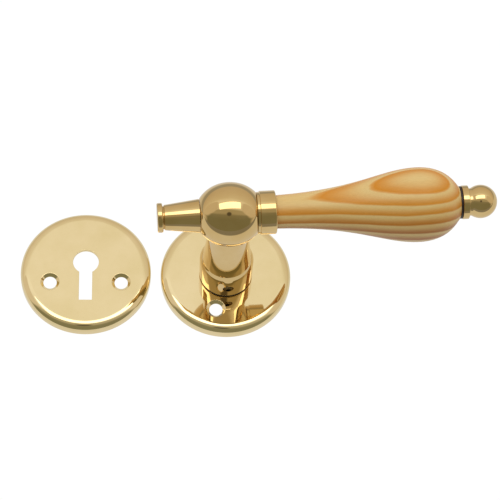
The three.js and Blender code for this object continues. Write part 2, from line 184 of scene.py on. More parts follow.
class Finishes(bpy.types.PropertyGroup):
    """Colours and polish of the materials."""

    plate_brass: colour("Plate Brass", "Pressed brass where it is clean", 0.87, 0.71, 0.41)
    plate_deep: colour("Plate Brass Deep", "Pressed brass where it has toned down", 0.80, 0.645, 0.34)
    turned_brass: colour("Turned Brass", "Turned brass where it is clean", 0.72, 0.53, 0.25)
    turned_deep: colour("Turned Brass Deep", "Turned brass where it has toned down", 0.66, 0.46, 0.19)
    early_wood: colour("Early Wood", "Pale spring growth of the pine", 0.86, 0.65, 0.29)
    late_wood: colour("Late Wood", "Orange summer growth of the pine", 0.73, 0.275, 0.008)
    # Darker, redder late wood towards the grip's underside: painted shade under the grip, along with
    # the wood's own redder tone.
    lower_wood_and_shade: colour("Outer Wood", "Redder summer growth, farther from the heart", 0.46, 0.13, 0.006)
    steel: colour("Steel", "Plated steel of the rod, clip, washer and grub screw", 0.42, 0.42, 0.43)
    dark_nylon: colour("Dark Nylon", "Dark washers", 0.035, 0.016, 0.014)
    pale_nylon: colour("Pale Nylon", "Bush in the rose", 0.72, 0.68, 0.60)
    ring_spacing: length("Ring Spacing", "Distance between two growth rings", 3.8)
    ring_offset: length("Ring Offset", "Shifts all growth rings outwards", 2.2)
    brass_haze: amount("Brass Haze", "Roughness of the polished brass", 0.02)


class StudioSettings(bpy.types.PropertyGroup):
    """Camera and light."""

    elevation: turn("Camera Elevation", "Camera's height over the door's plane", 62.99)
    azimuth: turn("Camera Azimuth", "Camera's turn round the neck", -8.907)
    roll: turn("Camera Roll", "Camera's clockwise roll", 4.956)
    distance: length("Camera Distance", "From the camera to the point it looks at", 965.25)
    aim_right: length("Aim Right", "Aimed point, to the right of the neck's foot", 9.528)
    aim_up: length("Aim Up", "Aimed point, above the neck's foot", 11.045)
    lens: amount("Lens", "Focal length in millimetres on a 36 mm sensor", 180, 1000)
    floor_gap: length("Floor Gap", "Floor's distance below the plates", 0.5)
    table_front: length("Table Front", "Where the lit part of the table ends, towards the camera", 150)
    table_back: length("Table Back", "Where the table starts to dim, behind the lever", 120)
    table_glow: amount("Table Glow", "Brightness that the table gives to the metal", 0.8, 10)
    softbox_power: amount("Softbox Power", "Power of the soft light overhead", 0.95, 1000)


class LeverSetSettings(bpy.types.PropertyGroup):
    """All settings of the lever set."""

    plates: bpy.props.PointerProperty(type=PlateSizes)
    neck: bpy.props.PointerProperty(type=NeckSizes)
    lever: bpy.props.PointerProperty(type=LeverSizes)
    finishes: bpy.props.PointerProperty(type=Finishes)
    studio: bpy.props.PointerProperty(type=StudioSettings)


def settings():
    return bpy.context.scene.lever_set


# Places read from the frame.


def span(node, axis):
    """Lowest and highest value of a CAD node along one axis: 0 for X, 1 for Y and 2 for Z."""
    low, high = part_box(node)
    return low[axis], high[axis]


def radius_of(node):
    """Outer radius of a round node: half its width along Y."""
    low, high = span(node, 1)
    return (high - low) / 2


def centre_of(node):
    low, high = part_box(node)
    return (low + high) / 2


def lever_height():
    """Height of the lever's own axis."""
    return centre_of("grip").z


# Shaping.


def select_nothing():
    if bpy.context.mode != "OBJECT":
        bpy.ops.object.mode_set(mode="OBJECT")
    bpy.ops.object.select_all(action="DESELECT")


def make_active(piece):
    select_nothing()
    piece.select_set(True)
    bpy.context.view_layer.objects.active = piece


def start_line(name, place):
    """A new mesh of one vertex, left in edit mode: a small plane, merged at its centre."""
    select_nothing()
    bpy.ops.mesh.primitive_plane_add(size=MM, location=place)
    piece = bpy.context.object
    piece.name = name
    piece.data.name = name
    bpy.ops.object.transform_apply(location=True, rotation=False, scale=False)
    bpy.ops.object.mode_set(mode="EDIT")
    bpy.ops.mesh.select_mode(type="VERT")
    bpy.ops.mesh.select_all(action="SELECT")
    bpy.ops.mesh.merge(type="CENTER")
    return piece


def draw_on(points):
    """Extrudes the selected vertex from point to point."""
    for here, there in zip(points, points[1:]):
        bpy.ops.mesh.extrude_region_move(TRANSFORM_OT_translate={"value": there - here})


def turned(name, profile, axis=Z_AXIS, centre=Vector(), steps=TURN_STEPS):
    """A turned solid. Its profile is a list of (radius, distance along the axis)."""
    out = X_AXIS if axis == Z_AXIS else Z_AXIS
    points = [centre + out * radius + axis * along for radius, along in profile]
    piece = start_line(name, points[0])
    draw_on(points)
    bpy.ops.mesh.select_all(action="SELECT")
    bpy.ops.mesh.spin(steps=steps, angle=math.tau, center=centre, axis=axis)
    bpy.ops.mesh.select_all(action="SELECT")
    bpy.ops.mesh.remove_doubles(threshold=WELD)
    bpy.ops.mesh.normals_make_consistent(inside=False)
    bpy.ops.object.mode_set(mode="OBJECT")
    return piece


def turned_on_lever(name, profile, steps=TURN_STEPS):
    """A turned solid whose axis is the lever's own."""
    return turned(name, profile, X_AXIS, Vector((0, 0, lever_height())), steps)


def closed(profile):
    """The profile of a ring ends where it starts."""
    return [*profile, profile[0]]


def bow(centre, half_width, half_height, start, end):
    """Points of an elliptical stretch of a profile, between two angles measured from the radius."""
    count = max(2, math.ceil(abs(end - start) / ARC_STEP))
    points = []
    for i in range(count + 1):
        angle = start + (end - start) * i / count
        points.append(
            (centre[0] + half_width * math.cos(angle), centre[1] + half_height * math.sin(angle))
        )
    return points


def bezier(start, pull_start, pull_end, end, count):
    """Points of a cubic curve, both ends included."""
    points = []
    for i in range(count + 1):
        t = i / count
        weights = ((1 - t) ** 3, 3 * t * (1 - t) ** 2, 3 * t * t * (1 - t), t**3)
        corners = (start, pull_start, pull_end, end)
        points.append(
            tuple(sum(w * c[axis] for w, c in zip(weights, corners)) for axis in (0, 1))
        )
    return points


def apply_modifier(piece, kind, **options):
    """Adds one modifier and applies it."""
    make_active(piece)
    bpy.ops.object.modifier_add(type=kind)
    modifier = piece.modifiers[-1]
    for option, value in options.items():
        setattr(modifier, option, value)
    bpy.ops.object.modifier_apply(modifier=modifier.name)


def cut_with(piece, cutter):
    """Cuts the piece with a cutter, and removes the cutter."""
    apply_modifier(piece, "BOOLEAN", operation="DIFFERENCE", solver="EXACT", object=cutter)
    bpy.data.objects.remove(cutter)


def cut_box(piece, centre, size):
    select_nothing()
    bpy.ops.mesh.primitive_cube_add(size=1, location=centre)
    box = bpy.context.object
    box.scale = size
    bpy.ops.object.transform_apply(location=True, rotation=True, scale=True)
    cut_with(piece, box)


def round_edges(piece, width, segments=3):
    """Rounds the piece's sharp edges."""
    apply_modifier(
        piece,
        "BEVEL",
        width=width,
        segments=segments,
        limit_method="ANGLE",
        angle_limit=SMOOTH_ANGLE,
        use_clamp_overlap=True,
    )


def smooth(piece):
    """Smooth shading with crisp edges, and flat faces kept flat."""
    make_active(piece)
    bpy.ops.object.shade_smooth_by_angle(angle=SMOOTH_ANGLE)
    apply_modifier(piece, "WEIGHTED_NORMAL", mode="FACE_AREA", keep_sharp=True, weight=90)


def settle(piece, body, node, material):
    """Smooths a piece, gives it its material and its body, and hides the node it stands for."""
    smooth(piece)
    piece.data.materials.clear()
    piece.data.materials.append(material)
    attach(piece, body)
    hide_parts(node)


# Nodes.


def add_node(tree, kind, **options):
    made = tree.nodes.new(kind)
    for option, value in options.items():
        setattr(made, option, value)
    return made


def empty_tree(owner):
    """The node tree of a material or a world, with nothing in it."""
    owner.use_nodes = True
    owner.node_tree.nodes.clear()
    return owner.node_tree


def plug(tree, value, socket):
    """Feeds a socket from another socket, or sets it to a plain value."""
    if isinstance(value, bpy.types.NodeSocket):
        tree.links.new(value, socket)
    else:
        socket.default_value = value


def calculate(tree, operation, first, second=0.0, third=0.0):
    node = add_node(tree, "ShaderNodeMath", operation=operation)
    for value, socket in zip((first, second, third), node.inputs):
        plug(tree, value, socket)
    return node.outputs[0]


def vector_calculate(tree, operation, first, second=(0, 0, 0)):
    node = add_node(tree, "ShaderNodeVectorMath", operation=operation)
    plug(tree, first, node.inputs[0])
    plug(tree, second, node.inputs[1])
    return node


def split(tree, vector):
    """The three parts of a vector."""
    node = add_node(tree, "ShaderNodeSeparateXYZ")
    plug(tree, vector, node.inputs[0])
    return node.outputs


def remap(tree, value, from_low, from_high, to_low=0.0, to_high=1.0, smooth_step=False):
    node = add_node(tree, "ShaderNodeMapRange", clamp=True)
    if smooth_step:
        node.interpolation_type = "SMOOTHSTEP"
    for given, socket in zip((value, from_low, from_high, to_low, to_high), node.inputs):
        plug(tree, given, socket)
    return node.outputs[0]


def noise(tree, vector, scale, detail=2.0, roughness=0.5):
    node = add_node(tree, "ShaderNodeTexNoise")
    plug(tree, vector, node.inputs["Vector"])
    plug(tree, scale, node.inputs["Scale"])
    node.inputs["Detail"].default_value = detail
    node.inputs["Roughness"].default_value = roughness
    return node.outputs["Fac"]


def stretch(tree, vector, factors):
    return vector_calculate(tree, "MULTIPLY", vector, factors).outputs[0]


def blend_colours(tree, factor, first, second, how="MIX"):
    node = add_node(tree, "ShaderNodeMix", data_type="RGBA", blend_type=how)
    plug(tree, factor, node.inputs["Factor"])
    plug(tree, first, node.inputs[6])
    plug(tree, second, node.inputs[7])
    return node.outputs[2]


def ramp(tree, value, stops):
    """A colour ramp from (position, grey or colour) stops."""
    node = add_node(tree, "ShaderNodeValToRGB")
    plug(tree, value, node.inputs[0])
    elements = node.color_ramp.elements
    elements.remove(elements[-1])
    for i, (position, tone) in enumerate(stops):
        element = elements.new(position) if i else elements[0]
        element.position = position
        element.color = (*tone, 1) if hasattr(tone, "__len__") else (tone, tone, tone, 1)
    return node.outputs[0]


def opaque(tone):
    return (*tone, 1)


def new_group(name, inputs, outputs):
    """A shader node group. Inputs are (name, kind, default) and outputs are (name, kind)."""
    group = bpy.data.node_groups.new(name, "ShaderNodeTree")
    for label, kind, default in inputs:
        socket = group.interface.new_socket(label, in_out="INPUT", socket_type=kind)
        if default is not None:
            socket.default_value = default
    for label, kind in outputs:
        group.interface.new_socket(label, in_out="OUTPUT", socket_type=kind)
    entry = group.nodes.new("NodeGroupInput")
    leave = group.nodes.new("NodeGroupOutput")
    return group, entry.outputs, leave.inputs


def scaled_place(group, given):
    """The vector given to a group, times the scale given to it."""
    scaled = vector_calculate(group, "SCALE", given["Vector"])
    plug(group, given["Scale"], scaled.inputs["Scale"])
    return scaled.outputs[0]


def fine_scuffs():
    """Hairlines, polishing haze and tiny pits, as on metal that has been handled."""
    group, given, result = new_group(
        "fine_scuffs",
        [
            ("Vector", "NodeSocketVector", None),
            ("Scale", "NodeSocketFloat", 1.0),
            ("Hairlines", "NodeSocketFloat", 1.0),
        ],
        [("Haze", "NodeSocketFloat"), ("Scuffs", "NodeSocketFloat"), ("Height", "NodeSocketFloat")],
    )
    place = scaled_place(group, given)
    haze = noise(group, place, 70, detail=4, roughness=0.6)
    long_lines = noise(group, stretch(group, place, (260, 3400, 3100)), 1.0, detail=3)
    cross_lines = noise(group, stretch(group, place, (2900, 240, 2700)), 1.0, detail=3)
    lines = calculate(
        group,
        "MAXIMUM",
        remap(group, long_lines, 0.66, 0.76),
        remap(group, cross_lines, 0.67, 0.77),
    )
    patchy = remap(group, noise(group, place, 160), 0.45, 0.65)
    broken = calculate(group, "MULTIPLY", lines, patchy)
    scuffs = calculate(group, "MULTIPLY", broken, given["Hairlines"])
    pits = remap(group, noise(group, place, 1900, detail=1), 0.74, 0.8)
    height = calculate(group, "SUBTRACT", calculate(group, "MULTIPLY", haze, 0.5), scuffs)
    plug(group, remap(group, haze, 0.3, 0.7), result["Haze"])
    plug(group, scuffs, result["Scuffs"])
    plug(group, calculate(group, "SUBTRACT", height, pits), result["Height"])


def turning_marks():
    """Faint rings that a lathe tool leaves, from the distance along the axis."""
    group, given, result = new_group(
        "turning_marks",
        [("Along", "NodeSocketFloat", 0.0), ("Pitch", "NodeSocketFloat", 9000.0)],
        [("Height", "NodeSocketFloat")],
    )
    node = add_node(group, "ShaderNodeTexNoise", noise_dimensions="1D")
    plug(group, given["Along"], node.inputs["W"])
    plug(group, given["Pitch"], node.inputs["Scale"])
    node.inputs["Detail"].default_value = 3
    plug(group, node.outputs["Fac"], result["Height"])


def moulded_grain():
    """A fine spark-eroded grain with a slow change of tone, for nylon and plated steel."""
    group, given, result = new_group(
        "moulded_grain",
        [("Vector", "NodeSocketVector", None), ("Scale", "NodeSocketFloat", 1.0)],
        [("Tone", "NodeSocketFloat"), ("Grain", "NodeSocketFloat")],
    )
    place = scaled_place(group, given)
    plug(group, remap(group, noise(group, place, 180, detail=3), 0.3, 0.7), result["Tone"])
    plug(group, noise(group, place, 4200), result["Grain"])


HEART_HEIGHT = 24 * MM
HEART_TILT = math.radians(16)
RING_WANDER = 2.2 * MM
RING_RIPPLE = 0.55 * MM
# From the heart outwards the late wood turns darker and redder, so towards the grip's underside:
# painted shade, along with the wood's own redder tone.
SHADE_AND_REDDENING_START = 17 * MM
SHADE_AND_REDDENING_END = 26 * MM


def sway(tree, value, wave, width):
    """Moves a value by a noise wave, up to half the width either way."""
    offset = calculate(tree, "MULTIPLY", calculate(tree, "SUBTRACT", wave, 0.5), width)
    return calculate(tree, "ADD", value, offset)


def pine_growth():
    """Growth rings and fibres of pine, round the tree's heart, which lies above the grip. The Outer
    mask grows towards the grip's underside and carries painted shade there.
    """
    group, given, result = new_group(
        "pine_growth",
        [
            ("Vector", "NodeSocketVector", None),
            ("Spacing", "NodeSocketFloat", 3.5 * MM),
            ("Offset", "NodeSocketFloat", 0.0),
        ],
        [
            ("Late Wood", "NodeSocketFloat"),
            ("Outer", "NodeSocketFloat"),
            ("Fibre", "NodeSocketFloat"),
            ("Bloom", "NodeSocketFloat"),
        ],
    )
    place = given["Vector"]
    wander = noise(group, stretch(group, place, (22, 60, 60)), 1.0)
    ripple = noise(group, stretch(group, place, (70, 420, 420)), 1.0, detail=3, roughness=0.55)
    from_heart = vector_calculate(group, "LENGTH", stretch(group, place, (0, 1, 1)))
    drifted = sway(group, from_heart.outputs["Value"], wander, RING_WANDER)
    rippled = sway(group, drifted, ripple, RING_RIPPLE)
    shifted = calculate(group, "SUBTRACT", rippled, given["Offset"])
    rings = calculate(group, "DIVIDE", shifted, given["Spacing"])
    share = calculate(group, "FRACT", rings)
    late = ramp(
        group,
        share,
        [(0.0, 0.0), (0.14, 0.06), (0.34, 0.34), (0.58, 0.74), (0.84, 1.0), (0.93, 0.7), (1.0, 0.0)],
    )
    strength_noise = add_node(group, "ShaderNodeTexNoise", noise_dimensions="1D")
    plug(group, calculate(group, "FLOOR", rings), strength_noise.inputs["W"])
    strength_noise.inputs["Scale"].default_value = 3.7
    strength = remap(group, strength_noise.outputs["Fac"], 0.3, 0.7, 0.85, 1.0)
    plug(group, calculate(group, "MULTIPLY", late, strength), result["Late Wood"])
    # Outer mask: rises away from the heart, towards the grip's underside, where it darkens the late
    # wood as painted shade and reddens it.
    plug(group, remap(group, shifted, SHADE_AND_REDDENING_START, SHADE_AND_REDDENING_END), result["Outer"])
    fibre = noise(group, stretch(group, place, (210, 5200, 5200)), 1.0, detail=3, roughness=0.6)
    plug(group, fibre, result["Fibre"])
    plug(group, noise(group, stretch(group, place, (40, 160, 160)), 1.0, detail=3), result["Bloom"])


def place_group(tree, group_name, **inputs):
    node = add_node(tree, "ShaderNodeGroup", node_tree=bpy.data.node_groups[group_name])
    for label, value in inputs.items():
        plug(tree, value, node.inputs[label])
    return node.outputs


def new_material(name, **shader_values):
    """A material with one Principled shader, whose constant values are set on its own sockets."""
    tree = empty_tree(bpy.data.materials.new(name))
    shader = add_node(tree, "ShaderNodeBsdfPrincipled")
    output = add_node(tree, "ShaderNodeOutputMaterial")
    tree.links.new(shader.outputs[0], output.inputs["Surface"])
    for label, value in shader_values.items():
        shader.inputs[label.replace("_", " ")].default_value = value
    place = add_node(tree, "ShaderNodeTexCoord").outputs["Object"]
    return tree, shader, place


BUMP_DEPTH = 0.02 * MM


def dress(tree, shader, tone, rough, height, strength):
    """Feeds a shader its colour, its roughness and the bumps of its surface."""
    plug(tree, tone, shader.inputs["Base Color"])
    plug(tree, rough, shader.inputs["Roughness"])
    node = add_node(tree, "ShaderNodeBump")
    plug(tree, strength, node.inputs["Strength"])
    plug(tree, BUMP_DEPTH, node.inputs["Distance"])
    plug(tree, height, node.inputs["Height"])
    tree.links.new(node.outputs[0], shader.inputs["Normal"])


def brass_wear(tree, scuffs, wear, haze):
    """Roughness of polished brass, raised by its scuffs and its haze."""
    worn = calculate(tree, "MULTIPLY_ADD", scuffs["Scuffs"], wear, settings().finishes.brass_haze)
    return calculate(tree, "MULTIPLY_ADD", scuffs["Haze"], haze, worn)


def pressed_brass():
    """Mirror-polished pressed brass of the plates."""
    finish = settings().finishes
    tree, shader, place = new_material("pressed_brass", Metallic=1.0)
    scuffs = place_group(tree, "fine_scuffs", Vector=place, Scale=1.0, Hairlines=1.0)
    tone = blend_colours(tree, scuffs["Haze"], opaque(finish.plate_brass), opaque(finish.plate_deep))
    rough = brass_wear(tree, scuffs, 0.16, 0.015)
    dress(tree, shader, tone, rough, scuffs["Height"], 0.02)


def turned_brass(name, axis):
    """Polished brass that was turned about one axis: 0 for X and 2 for Z."""
    finish = settings().finishes
    tree, shader, place = new_material(name, Metallic=1.0)
    scuffs = place_group(tree, "fine_scuffs", Vector=place, Scale=1.2, Hairlines=0.8)
    marks = place_group(tree, "turning_marks", Along=split(tree, place)[axis], Pitch=9000.0)
    tone = blend_colours(tree, scuffs["Haze"], opaque(finish.turned_brass), opaque(finish.turned_deep))
    rough = brass_wear(tree, scuffs, 0.14, 0.02)
    height = calculate(tree, "MULTIPLY_ADD", marks["Height"], 0.7, scuffs["Height"])
    dress(tree, shader, tone, rough, height, 0.02)


def lacquered_pine():
    """Clear-lacquered pine with wide growth rings, and painted shade that darkens and reddens the late
    wood towards the underside.
    """
    finish = settings().finishes
    tree, shader, place = new_material(
        "pine_under_lacquer",
        Specular_IOR_Level=0.2,
        Coat_Weight=0.15,
        Coat_Roughness=0.22,
        Coat_IOR=1.5,
    )
    mapping = add_node(tree, "ShaderNodeMapping", vector_type="TEXTURE")
    mapping.inputs["Location"].default_value = (
        0,
        HEART_HEIGHT * math.sin(HEART_TILT),
        lever_height() + HEART_HEIGHT * math.cos(HEART_TILT),
    )
    plug(tree, place, mapping.inputs["Vector"])
    growth = place_group(
        tree,
        "pine_growth",
        Vector=mapping.outputs[0],
        Spacing=finish.ring_spacing,
        Offset=finish.ring_offset,
    )
    # Towards the underside the late wood is mixed with a darker, redder colour: painted shade, along
    # with the wood's own redder tone.
    late = blend_colours(tree, growth["Outer"], opaque(finish.late_wood), opaque(finish.lower_wood_and_shade))
    tone = blend_colours(tree, growth["Late Wood"], opaque(finish.early_wood), late)
    shade = remap(tree, growth["Fibre"], 0.3, 0.7, 0.0, 0.16)
    fibred = blend_colours(tree, shade, tone, (0.30, 0.15, 0.06, 1), "MULTIPLY")
    bloom = remap(tree, growth["Bloom"], 0.4, 0.75, 0.0, 0.16)
    bloomed = blend_colours(tree, bloom, fibred, late)
    rough = remap(tree, growth["Fibre"], 0.3, 0.7, 0.34, 0.46)
    dress(tree, shader, bloomed, rough, growth["Fibre"], 0.12)


def plain_finish(name, tone, darker, low_rough, high_rough, scale, metallic):
    """Nylon or plated steel, with grain and a slow change of tone."""
    tree, shader, place = new_material(name, Metallic=metallic)
    grain = place_group(tree, "moulded_grain", Vector=place, Scale=scale)
    deep = tuple(channel * darker for channel in tone)
    mixed = blend_colours(tree, grain["Tone"], opaque(tone), opaque(deep))
    rough = remap(tree, grain["Grain"], 0.3, 0.7, low_rough, high_rough)
    dress(tree, shader, mixed, rough, grain["Grain"], 0.3)


# Pieces.


def dish_profile(bore, top):
    """The pressed dish that both plates share, from the bore or axis over the rim and back."""
    sizes = settings().plates
    rim = radius_of("rose_plate")
    chamfer = sizes.sheet / 4
    centre = (rim - sizes.edge_width, top - sizes.edge_height)
    inner_width = sizes.edge_width - sizes.sheet
    inner_height = sizes.edge_height - sizes.sheet
    underside = bow(centre, inner_width, inner_height, math.pi / 2, 0)
    face = bow(centre, sizes.edge_width, sizes.edge_height, 0, math.pi / 2)
    return [
        (bore, top - sizes.sheet),
        *underside,
        (rim - sizes.sheet, 0),
        (rim - chamfer, 0),
        (rim, chamfer),
        *face,
        (bore, top),
    ]


def sink_profile(top):
    """What is cut for one screw: the hole, the cone above it and the rounded lip."""
    sizes = settings().plates
    lip = sizes.countersink_lip
    hole = sizes.screw_hole
    cone_top = sizes.countersink - lip / 2
    slope = math.atan2(sizes.countersink_depth, cone_top - hole)
    rounding = bow(
        (cone_top + lip * math.sin(slope), top - lip),
        lip,
        lip,
        math.pi / 2 + slope,
        math.pi / 2,
    )
    return [
        (0, -MM),
        (hole, -MM),
        (hole, top - sizes.countersink_depth - lip * 0.2),
        *rounding,
        (rounding[-1][0], top + MM),
        (0, top + MM),
    ]


def drill_for_screw(piece, place, top):
    """Cuts a screw hole and its countersink."""
    cut_with(piece, turned("sink", sink_profile(top), centre=place, steps=SMALL_TURN_STEPS))


LEVEL_GAP = 5 * WELD
UPRIGHT = 0.1
FLAT = 0.9


def round_top_edges(piece, centre, reach, top, width):
    """Rounds the upright-walled edges of holes in a plate's face, within reach of a point."""
    make_active(piece)
    bpy.ops.object.mode_set(mode="EDIT")
    bpy.ops.mesh.select_mode(type="EDGE")
    bpy.ops.mesh.select_all(action="DESELECT")
    bpy.ops.object.mode_set(mode="OBJECT")
    mesh = piece.data
    walls = {}
    for face in mesh.polygons:
        for key in face.edge_keys:
            walls.setdefault(key, []).append(abs(face.normal.z))
    for edge in mesh.edges:
        ends = [mesh.vertices[i].co for i in edge.vertices]
        near = all((end.xy - centre.xy).length < reach for end in ends)
        level = all(abs(end.z - top) < LEVEL_GAP for end in ends)
        facing = walls.get(edge.key, [])
        crisp = len(facing) == 2 and min(facing) < UPRIGHT and max(facing) > FLAT
        edge.select = near and level and crisp
    bpy.ops.object.mode_set(mode="EDIT")
    bpy.ops.mesh.bevel(offset=width, segments=3, affect="EDGES", clamp_overlap=True)
    bpy.ops.object.mode_set(mode="OBJECT")


def tidy_flats(piece):
    """Joins the face's many level slivers into large flat faces."""
    make_active(piece)
    bpy.ops.object.mode_set(mode="EDIT")
    bpy.ops.mesh.select_all(action="SELECT")
    bpy.ops.mesh.remove_doubles(threshold=WELD)
    bpy.ops.mesh.dissolve_limited(angle_limit=math.radians(0.2))
    bpy.ops.object.mode_set(mode="OBJECT")


def make_rose(material):
    sizes = settings().plates
    top = span("rose_plate", 2)[1]
    rose = turned("rose_dish", closed(dish_profile(sizes.rose_bore, top)))
    reach, angle = sizes.rose_screw_radius, sizes.rose_screw_turn
    offset = Vector((reach * math.cos(angle), reach * math.sin(angle), 0))
    for side in (1, -1):
        drill_for_screw(rose, side * offset, top)
    tidy_flats(rose)
    round_top_edges(rose, Vector(), sizes.rose_bore + MM, top, sizes.key_edge)
    settle(rose, "root", "rose_plate", material)


def make_keyhole_plate(material):
    """The plate is shaped level with the axes at the origin, then turned and moved to its place."""
    sizes = settings().plates
    top = span("escutcheon_plate", 2)[1]
    plate = turned("keyhole_dish", dish_profile(0, top))
    for side in (1, -1):
        place = Vector((side * sizes.screw_spacing / 2, -sizes.screw_drop, 0))
        drill_for_screw(plate, place, top)
    select_nothing()
    bpy.ops.mesh.primitive_cylinder_add(
        vertices=SMALL_TURN_STEPS * 2,
        radius=sizes.key_round,
        depth=4 * top,
        location=(0, sizes.key_rise, 0),
    )
    cut_with(plate, bpy.context.object)
    slot_centre = (0, (sizes.key_rise - sizes.key_drop) / 2, 0)
    cut_box(plate, slot_centre, (sizes.key_slot, sizes.key_rise + sizes.key_drop, 4 * top))
    tidy_flats(plate)
    round_top_edges(plate, Vector((0, -MM, 0)), sizes.key_drop + MM, top, sizes.key_edge)
    centre = centre_of("escutcheon_plate")
    place = Matrix.Translation((centre.x, centre.y, 0))
    plate.matrix_world = place @ Matrix.Rotation(sizes.plate_turn, 4, "Z")
    make_active(plate)
    bpy.ops.object.transform_apply(location=True, rotation=True, scale=True)
    settle(plate, "root", "escutcheon_plate", material)


FLARE_STEPS = 60


def neck_profile():
    """Bearing, foot and shoulder, then a long flare that narrows to the ball."""
    sizes = settings().neck
    foot = radius_of("lever_neck")
    start, end = span("lever_neck", 2)
    groove = sizes.journal - sizes.groove_depth
    foot_start = span("friction_washer", 2)[1] + sizes.foot_gap
    foot_end = foot_start + sizes.foot_height
    slope_end = foot_end + sizes.slope_height
    shoulder = foot - sizes.slope_inset
    flare = bezier(
        (shoulder, slope_end),
        (shoulder - sizes.flare_dip, slope_end + sizes.flare_dip_rise),
        (sizes.neck + sizes.flare_lean, slope_end + sizes.flare_height),
        (sizes.neck, sizes.seat_rise),
        FLARE_STEPS,
    )
    return [
        (0, start),
        (sizes.journal, start),
        (sizes.journal, sizes.groove_start),
        (groove, sizes.groove_start),
        (groove, sizes.groove_end),
        (sizes.journal, sizes.groove_end),
        (sizes.journal, foot_start),
        (foot, foot_start),
        (foot, foot_end),
        *flare,
        (sizes.spigot, sizes.seat_rise),
        (sizes.spigot, end),
        (0, end),
    ]


def make_neck(material):
    sizes = settings().neck
    neck = turned("neck_turning", neck_profile())
    round_edges(neck, sizes.edge)
    socket_size = (2 * sizes.socket, 2 * sizes.socket, sizes.socket_top + 2 * MM)
    cut_box(neck, (0, 0, sizes.socket_top / 2 - MM), socket_size)
    select_nothing()
    reach = 2 * radius_of("lever_neck")
    bpy.ops.mesh.primitive_cylinder_add(
        vertices=SMALL_TURN_STEPS,
        radius=sizes.grub_hole,
        depth=reach,
        location=(0, -reach / 2, sizes.grub_rise),
        rotation=(math.pi / 2, 0, 0),
    )
    hole = bpy.context.object
    bpy.ops.object.transform_apply(location=True, rotation=True, scale=True)
    cut_with(neck, hole)
    settle(neck, "lever", "lever_neck", material)


def washer_profile(node, axis, bore):
    low, high = span(node, axis)
    outer = radius_of(node)
    return closed([(bore, low), (outer, low), (outer, high), (bore, high)])


def make_friction_washer(material):
    sizes = settings().neck
    washer = turned("friction_ring", washer_profile("friction_washer", 2, sizes.washer_bore))
    round_edges(washer, sizes.edge / 3, 2)
    settle(washer, "root", "friction_washer", material)


def make_ball(material):
    sizes = settings().lever
    half_length = sizes.ball_length / 2
    radius = radius_of("ball_hub")
    tail_side, grip_side = span("ball_hub", 0)
    round_part = bow(
        (0, 0),
        radius,
        half_length,
        math.asin(tail_side / half_length),
        math.asin(grip_side / half_length),
    )
    profile = closed([(sizes.rod_bore, tail_side), *round_part, (sizes.rod_bore, grip_side)])
    ball = turned_on_lever("ball_turning", profile)
    round_edges(ball, sizes.edge)
    seat = [
        (0, 0),
        (sizes.seat, 0),
        (sizes.seat, sizes.seat_rise),
        (sizes.spigot_hole, sizes.seat_rise),
        (sizes.spigot_hole, sizes.spigot_top),
        (0, sizes.spigot_top),
    ]
    cut_with(ball, turned("seat_cutter", seat))
    settle(ball, "lever", "ball_hub", material)


def make_tail(material):
    sizes = settings().lever
    end, start = span("tail_cone", 0)
    disc_start = end + sizes.disc_thickness
    cone_end = disc_start + sizes.tail_groove
    groove = sizes.tail_neck - sizes.tail_groove_depth
    edge = sizes.disc_edge
    bore_end = start - sizes.tail_bore_depth
    tail = turned_on_lever(
        "tail_turning",
        [
            (0, end),
            *bow((sizes.tail_disc - edge, end + edge), edge, edge, -math.pi / 2, 0),
            *bow((sizes.tail_disc - edge, disc_start - edge), edge, edge, 0, math.pi / 2),
            (groove, disc_start),
            (groove, cone_end),
            (sizes.tail_neck, cone_end),
            (radius_of("tail_cone"), start),
            (sizes.rod_bore, start),
            (sizes.rod_bore, bore_end),
            (0, bore_end),
        ],
    )
    round_edges(tail, sizes.edge)
    settle(tail, "lever", "tail_cone", material)


TENON_GAP = 0.1 * MM


def make_ferrule(material):
    sizes = settings().lever
    start, end = span("ferrule", 0)
    outer = radius_of("ferrule")
    collar_end = start + sizes.collar_length
    socket_end = end - sizes.tenon_length - TENON_GAP
    edge = sizes.ferrule_edge
    ferrule = turned_on_lever(
        "ferrule_turning",
        closed(
            [
                (sizes.rod_bore, start),
                (sizes.collar, start),
                (sizes.collar, collar_end),
                (outer, collar_end),
                *bow((outer - edge, end - edge), edge, edge, 0, math.pi / 2),
                (sizes.ferrule_socket, end),
                (sizes.ferrule_socket, socket_end),
                (sizes.rod_bore, socket_end),
            ]
        ),
    )
    round_edges(ferrule, sizes.edge)
    settle(ferrule, "lever", "ferrule", material)


ROOT_FLARE = 0.85 * MM
END_FLARE = 1 * MM
ROOT_PULL = 0.595
BELLY_PULL = 0.255
SHOULDER_PULL = 0.725
END_PULL = 0.076
SWELL_STEPS = 90
CLOSE_STEPS = 60


def make_grip(material):
    """The grip swells slowly from the ferrule to its belly and closes quickly behind it."""
    sizes = settings().lever
    tenon_start, end = span("grip", 0)
    belly_radius = radius_of("grip")
    root = tenon_start + sizes.tenon_length
    belly = end - sizes.grip_close
    swell_length = belly - root
    swell = bezier(
        (sizes.grip_root, root),
        (sizes.grip_root + ROOT_FLARE, root + ROOT_PULL * swell_length),
        (belly_radius, belly - BELLY_PULL * swell_length),
        (belly_radius, belly),
        SWELL_STEPS,
    )
    close = bezier(
        (belly_radius, belly),
        (belly_radius, belly + SHOULDER_PULL * sizes.grip_close),
        (sizes.grip_end + END_FLARE, end - END_PULL * sizes.grip_close),
        (sizes.grip_end, end),
        CLOSE_STEPS,
    )
    start = [(sizes.rod_bore, tenon_start), (sizes.grip_root, tenon_start)]
    profile = closed([*start, *swell, *close[1:], (sizes.rod_bore, end)])
    grip = turned_on_lever("grip_turning", profile)
    settle(grip, "lever", "grip", material)


def make_end_washer(material):
    sizes = settings().lever
    washer = turned_on_lever("end_ring", washer_profile("end_washer", 0, sizes.rod_bore))
    round_edges(washer, sizes.edge / 2, 2)
    settle(washer, "lever", "end_washer", material)


BORE_PAST_CENTRE = 0.2 * MM


